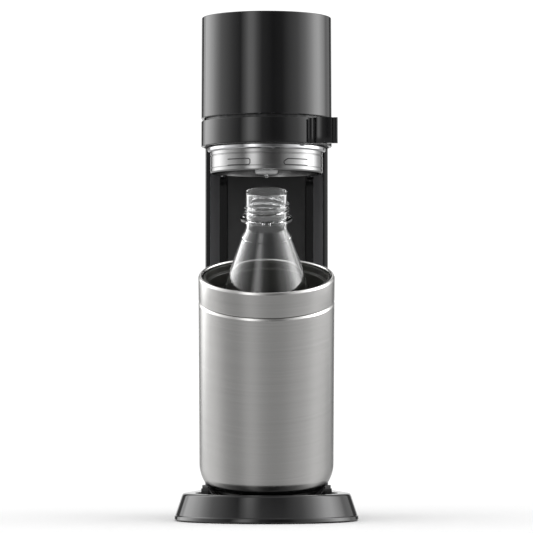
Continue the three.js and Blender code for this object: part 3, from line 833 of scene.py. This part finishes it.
# ------------------------------------------------------------------ studio
# What glossy surfaces see round them, level with them and higher: (azimuth in degrees, 0 in front and
# 90 on the right; brightness).
PANELS = [
    (-180, 0.9), (-166, 0.9), (-162, 0.12), (-150, 0.12), (-147, 1.4), (-141, 1.5), (-136, 2.8),
    (-123, 3.7), (-110, 3.6), (-88, 1.6), (-61, 0.65), (-47, 0.28), (-38, 1.4), (-31, 2.5),
    (-24, 2.3), (-16, 1.1), (-8, 0.36), (12, 0.11), (28, 0.2), (41, 0.68), (57, 1.2), (73, 2.5),
    (95, 5.3), (105, 5.2), (116, 3.1), (130, 0.9), (147, 0.6), (150, 0.1), (162, 0.1), (166, 0.9),
    (180, 0.9),
]
# The same for what they see below them, in the table top.
TABLE = [
    (-180, 0.7), (-150, 0.6), (-136, 0.95), (-126, 0.9), (-113, 0.85), (-102, 0.8), (-91, 0.62),
    (-80, 0.46), (-64, 0.38), (-52, 0.38), (-42, 0.52), (-32, 0.6), (-22, 0.55), (-8, 0.4),
    (12, 0.36), (34, 0.38), (52, 0.5), (70, 0.58), (84, 0.7), (96, 0.86), (110, 0.78), (120, 0.7),
    (130, 0.5), (142, 0.4), (160, 0.5), (180, 0.7),
]
OVERHEAD = 0.8
ROOM = 1.12  # what matt surfaces are lit by, and what the camera sees behind the object


def surroundings(tree, azimuth, table):
    """The brightness round the object as a smooth ramp over the azimuth."""
    peak = max(brightness for _, brightness in table)
    ramp = tree.nodes.new("ShaderNodeValToRGB")
    ramp.color_ramp.interpolation = "LINEAR"
    elements = ramp.color_ramp.elements
    elements[0].position, elements[1].position = 0, 1
    for degrees, _ in table[1:-1]:
        elements.new((degrees + 180) / 360)
    for element, (_, brightness) in zip(elements, table):
        element.color = (*[brightness / peak] * 3, 1)
    tree.links.new(azimuth, ramp.inputs["Fac"])
    scaled = tree.nodes.new("ShaderNodeMath")
    scaled.operation = "MULTIPLY"
    scaled.inputs[1].default_value = peak
    tree.links.new(ramp.outputs["Color"], scaled.inputs[0])
    return scaled.outputs[0]


def build_world():
    """Even white light, with soft panels to the left and right that only glossy surfaces show."""
    world = bpy.data.worlds.new("studio")
    bpy.context.scene.world = world
    world.use_nodes = True
    tree = world.node_tree
    link = tree.links.new

    def add(kind, **values):
        node = tree.nodes.new(kind)
        for key, value in values.items():
            setattr(node, key, value)
        return node

    def fade(value, start, end, below, above):
        """`below` under the start, `above` over the end, and a soft change between them."""
        share = add("ShaderNodeMapRange", interpolation_type="SMOOTHSTEP")
        share.inputs["From Min"].default_value = start
        share.inputs["From Max"].default_value = end
        link(value, share.inputs["Value"])
        return mix(share.outputs["Result"], below, above)

    def mix(factor, first, second):
        blend = add("ShaderNodeMix", data_type="FLOAT")
        link(factor, blend.inputs["Factor"])
        for socket, value in (("A", first), ("B", second)):
            if isinstance(value, float):
                blend.inputs[socket].default_value = value
            else:
                link(value, blend.inputs[socket])
        return blend.outputs["Result"]

    direction = add("ShaderNodeSeparateXYZ")
    link(add("ShaderNodeTexCoord").outputs["Generated"], direction.inputs[0])
    forward = add("ShaderNodeMath", operation="MULTIPLY")
    forward.inputs[1].default_value = -1
    link(direction.outputs["Y"], forward.inputs[0])
    angle = add("ShaderNodeMath", operation="ARCTAN2")
    link(direction.outputs["X"], angle.inputs[0])
    link(forward.outputs[0], angle.inputs[1])
    share = add("ShaderNodeMapRange")
    share.inputs["From Min"].default_value = -math.pi
    share.inputs["From Max"].default_value = math.pi
    link(angle.outputs[0], share.inputs["Value"])
    azimuth = share.outputs["Result"]

    height = direction.outputs["Z"]
    table, panels = (surroundings(tree, azimuth, levels) for levels in (TABLE, PANELS))
    sides = fade(height, -0.12, -0.03, table, panels)
    shown = fade(height, 0.62, 0.95, sides, OVERHEAD)
    path = add("ShaderNodeLightPath")
    strength = mix(path.outputs["Is Glossy Ray"], ROOM, shown)
    background = tree.nodes["Background"]
    background.inputs["Color"].default_value = (1, 1, 1, 1)
    link(strength, background.inputs["Strength"])


def build_floor():
    reach = 40
    corners = [(-reach, -reach, 0), (reach, -reach, 0), (reach, reach, 0), (-reach, reach, 0)]
    floor = mesh_object("floor", corners, [(0, 1, 2, 3)])
    pale = bpy.data.materials.new("pale_floor")
    pale.use_nodes = True
    shader = pale.node_tree.nodes["Principled BSDF"]
    shader.inputs["Base Color"].default_value = (0.93, 0.93, 0.93, 1)
    shader.inputs["Roughness"].default_value = 0.9
    shader.inputs["Specular IOR Level"].default_value = 0
    floor.data.materials.append(pale)
    floor.visible_glossy = False


def build_key_light():
    data = bpy.data.lights.new("key", "AREA")
    data.energy = 1.5
    data.size = 0.8
    light = bpy.data.objects.new("key", data)
    bpy.context.scene.collection.objects.link(light)
    light.location = (-0.9, -1.1, 1.3)
    aim = Vector((0, 0, 0.2)) - light.location
    light.rotation_euler = aim.to_track_quat("-Z", "Y").to_euler()
    light.visible_glossy = False


CAMERA_DISTANCE = 2.748
CAMERA_HEIGHT = 0.1115
CAMERA_PITCH = 2.3  # degrees above level


def build_camera():
    data = bpy.data.cameras.new("camera")
    data.sensor_width = 36
    data.lens = 212.15
    data.clip_end = 100
    camera = bpy.data.objects.new("camera", data)
    bpy.context.scene.collection.objects.link(camera)
    camera.location = (0, HEAD_Y - CAMERA_DISTANCE, CAMERA_HEIGHT)
    camera.rotation_euler = (math.radians(90 + CAMERA_PITCH), 0, 0)
    bpy.context.scene.camera = camera
    bpy.context.scene.view_settings.view_transform = "Standard"


build_base()
build_back_cover()
build_head()
build_button()
build_handle_band()
build_lock_ring()
build_nozzle()
build_carrier()
build_bottle()
build_gas_cylinder()
finish_cad_nodes()
build_world()
build_floor()
build_key_light()
build_camera()
